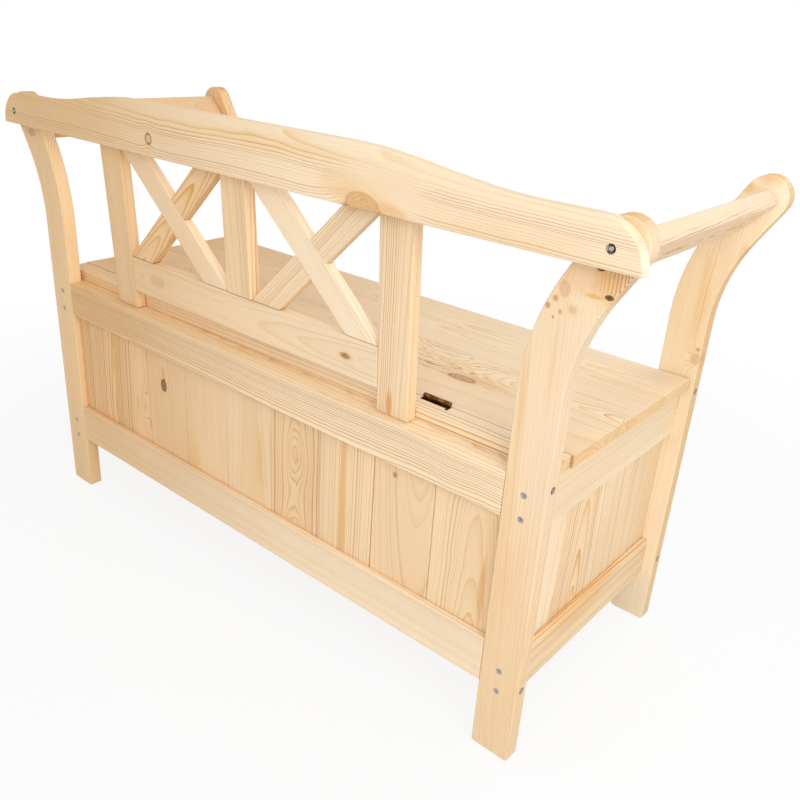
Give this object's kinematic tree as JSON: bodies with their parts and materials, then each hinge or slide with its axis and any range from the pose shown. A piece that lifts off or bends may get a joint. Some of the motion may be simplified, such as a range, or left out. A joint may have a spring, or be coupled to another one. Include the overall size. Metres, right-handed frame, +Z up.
{
  "type": "garden storage bench",
  "caption": "Wooden storage bench with a hinged seat lid over a panelled chest, flared posts, tilted armrests and a camel-back rail over crossed braces.",
  "frame": {"origin": "bottom centre of the bounding box, on the ground between the four feet", "axes": "+Z up, +X along the bench to the right as seen from the front, -Y toward the front where a sitter's legs are"},
  "size_m": [1.2448, 0.4672, 0.7917],
  "materials": {
    "pine_frame": "planed, unfinished",
    "pine_panel": "planed, unfinished",
    "pine_board": "planed, unfinished",
    "hinge_brass": "dull, darkened",
    "screw_zinc": "zinc plated"
  },
  "bodies": {
    "bench": {"post_rear_left": "pine_frame", "post_rear_right": "pine_frame", "post_front_left": "pine_frame", "post_front_right": "pine_frame", "top_back_rail": "pine_frame", "rear_upper_rail": "pine_frame", "rear_lower_rail": "pine_frame", "front_upper_rail": "pine_frame", "front_lower_rail": "pine_frame", "left_upper_rail": "pine_frame", "left_lower_rail": "pine_frame", "right_upper_rail": "pine_frame", "right_lower_rail": "pine_frame", "hinge_board": "pine_board", "front_ledge": "pine_board", "hinge_strip": "pine_board", "armrest_left": "pine_frame", "armrest_right": "pine_frame", "top_rail_screw_left": "screw_zinc", "top_rail_screw_right": "screw_zinc", "back_slat_left": "pine_frame", "back_slat_middle": "pine_frame", "back_slat_right": "pine_frame", "back_bottom_board": "pine_frame", "brace_left_rising": "pine_frame", "brace_left_falling": "pine_frame", "brace_right_rising": "pine_frame", "brace_right_falling": "pine_frame", "rear_panel_board_1": "pine_panel", "rear_panel_board_2": "pine_panel", "rear_panel_board_3": "pine_panel", "rear_panel_board_4": "pine_panel", "rear_panel_board_5": "pine_panel", "rear_panel_board_6": "pine_panel", "rear_panel_board_7": "pine_panel", "rear_panel_board_8": "pine_panel", "rear_panel_board_9": "pine_panel", "left_panel_board_1": "pine_panel", "left_panel_board_2": "pine_panel", "left_panel_board_3": "pine_panel", "left_panel_board_4": "pine_panel", "right_panel_board_1": "pine_panel", "right_panel_board_2": "pine_panel", "right_panel_board_3": "pine_panel", "right_panel_board_4": "pine_panel", "front_panel": "pine_panel", "floor": "pine_panel", "floor_batten_rear": "pine_frame", "floor_batten_front": "pine_frame", "hinge_board_leaf_left": "hinge_brass", "hinge_board_leaf_right": "hinge_brass"},
    "lid": {"lid_board_1": "pine_board", "lid_board_2": "pine_board", "lid_board_3": "pine_board", "lid_board_4": "pine_board", "lid_batten_left": "pine_frame", "lid_batten_middle": "pine_frame", "lid_batten_right": "pine_frame", "hinge_lid_leaf_left": "hinge_brass", "hinge_lid_leaf_right": "hinge_brass"}
  },
  "joints": [
    {"name": "lid_hinge", "type": "hinge", "parent": "bench", "child": "lid", "pos_m": [0, 0.14855, 0.4589], "axis": [-1, 0, 0], "range_deg": [0, 99]}
  ]
}
